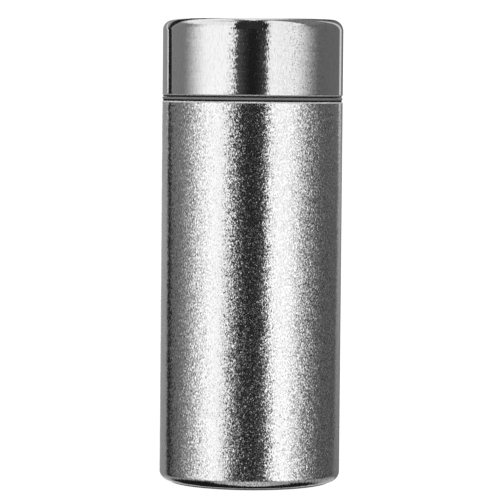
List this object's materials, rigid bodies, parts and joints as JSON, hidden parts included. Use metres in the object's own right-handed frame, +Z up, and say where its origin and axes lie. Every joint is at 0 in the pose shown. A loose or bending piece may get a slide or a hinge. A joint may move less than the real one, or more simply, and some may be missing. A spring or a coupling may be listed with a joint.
{
  "type": "insulated flask",
  "caption": "Slim double-wall steel flask with a flush screw lid, frosted body and polished cap, for hot or cold drinks.",
  "frame": {"origin": "centre of the foot, on the surface that the flask stands on", "axes": "+Z up the flask's axis, towards the lid; +X and +Y are level, +X through the getter"},
  "size_m": [0.066, 0.066, 0.1695],
  "materials": {
    "frosted_steel": "frosted, fine sparkling grain",
    "polished_steel": "polished with fine turning marks",
    "inner_steel": "electropolished",
    "plain_steel": "satin",
    "getter_metal": "sintered",
    "copper_foil": "bright foil",
    "bead_glass": "fused",
    "ring_plastic": "satin grey",
    "liner_plastic": "satin black",
    "seal_silicone": "translucent white silicone",
    "gasket_rubber": "satin black",
    "pad_silicone": "grey silicone",
    "foam": "closed-cell foam"
  },
  "bodies": {
    "flask": {"outer_shell": "frosted_steel", "vacuum_base": "plain_steel", "seal_bead": "bead_glass", "getter_pill": "getter_metal", "getter_clip": "plain_steel", "base_cover": "plain_steel", "base_pad": "pad_silicone", "inner_vessel": "inner_steel", "reflective_foil": "copper_foil", "neck_ring": "plain_steel", "collar_gasket": "gasket_rubber", "collar_ring": "ring_plastic"},
    "seal": {"lid_seal": "seal_silicone"},
    "lid": {"lid_liner": "liner_plastic", "plug_cover": "plain_steel", "plug_foam": "foam", "lid_foam": "foam", "lid_shell": "polished_steel"}
  },
  "joints": [
    {"name": "lid_rise", "type": "slide", "parent": "flask", "child": "seal", "axis": [0, 0, 1], "range_m": [0, 0.036]},
    {"name": "lid_turn", "type": "hinge", "parent": "seal", "child": "lid", "pos_m": [0, 0, 0.15], "axis": [0, 0, 1], "range_deg": [0, 1080]}
  ],
  "couplings": [
    {"joint": "lid_rise", "follows": "lid_turn", "m_per_rad": 0.0019099}
  ]
}
